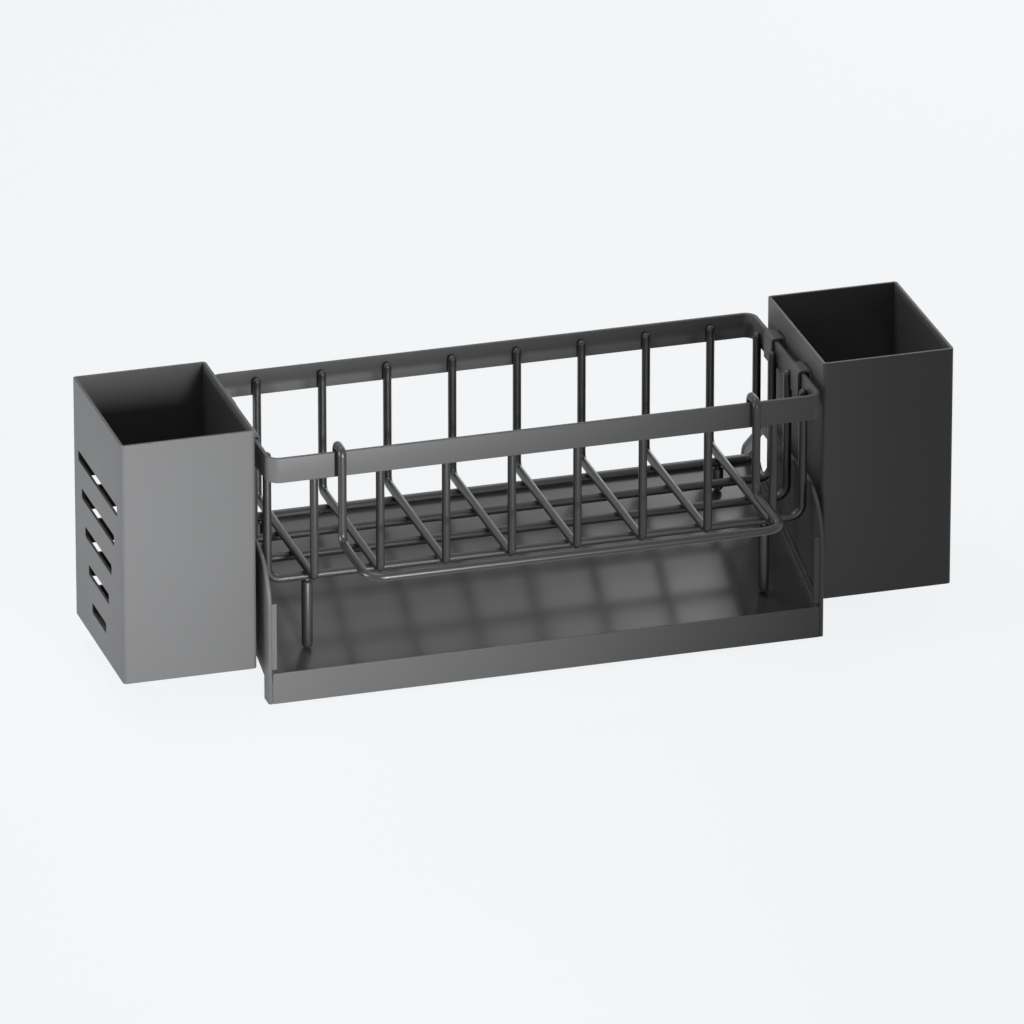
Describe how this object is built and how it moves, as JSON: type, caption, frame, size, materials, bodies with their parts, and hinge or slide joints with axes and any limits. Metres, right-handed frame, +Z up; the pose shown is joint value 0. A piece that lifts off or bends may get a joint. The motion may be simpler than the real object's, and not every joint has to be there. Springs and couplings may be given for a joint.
{
  "type": "kitchen sink caddy",
  "caption": "Kitchen sink caddy: wire basket with a flat rim on a sloping drip tray with end panels, hang-on side boxes and a hook-on cloth rail in front.",
  "frame": {"origin": "on the worktop, under the middle of the caddy's overall length and depth", "axes": "+X to the right along the caddy, +Y to the back, +Z up"},
  "size_m": [0.4008, 0.1711, 0.1332],
  "materials": {
    "coated_wire": "satin dark grey coating on steel wire",
    "coated_sheet": "satin dark grey coating on steel sheet",
    "tray_sheet": "smooth satin dark grey coating on steel sheet"
  },
  "bodies": {
    "tray": {"drip_tray": "tray_sheet", "left_end_panel": "coated_sheet", "right_end_panel": "coated_sheet"},
    "basket": {"rim_band": "coated_sheet", "cross_wire_1": "coated_wire", "cross_wire_2": "coated_wire", "cross_wire_3": "coated_wire", "cross_wire_4": "coated_wire", "cross_wire_5": "coated_wire", "cross_wire_6": "coated_wire", "cross_wire_7": "coated_wire", "cross_wire_8": "coated_wire", "long_wire_1": "coated_wire", "long_wire_2": "coated_wire", "long_wire_3": "coated_wire", "long_wire_4": "coated_wire", "left_foot_front": "coated_wire", "left_foot_rear": "coated_wire", "right_foot_front": "coated_wire", "right_foot_rear": "coated_wire"},
    "left_box_unit": {"left_box": "coated_sheet", "left_box_hook_front": "coated_sheet", "left_box_hook_rear": "coated_sheet"},
    "right_box_unit": {"right_box": "coated_sheet", "right_box_hook_front": "coated_sheet", "right_box_hook_rear": "coated_sheet"},
    "rail": {"cloth_rail": "coated_wire"}
  },
  "joints": [
    {"name": "basket_lift", "type": "slide", "parent": "tray", "child": "basket", "axis": [0, 0, 1], "range_m": [0, 0.1]},
    {"name": "left_box_lift", "type": "slide", "parent": "basket", "child": "left_box_unit", "axis": [0, 0, 1], "range_m": [0, 0.05]},
    {"name": "right_box_lift", "type": "slide", "parent": "basket", "child": "right_box_unit", "axis": [0, 0, 1], "range_m": [0, 0.05]},
    {"name": "rail_lift", "type": "slide", "parent": "basket", "child": "rail", "axis": [0, 0, 1], "range_m": [0, 0.04]}
  ]
}
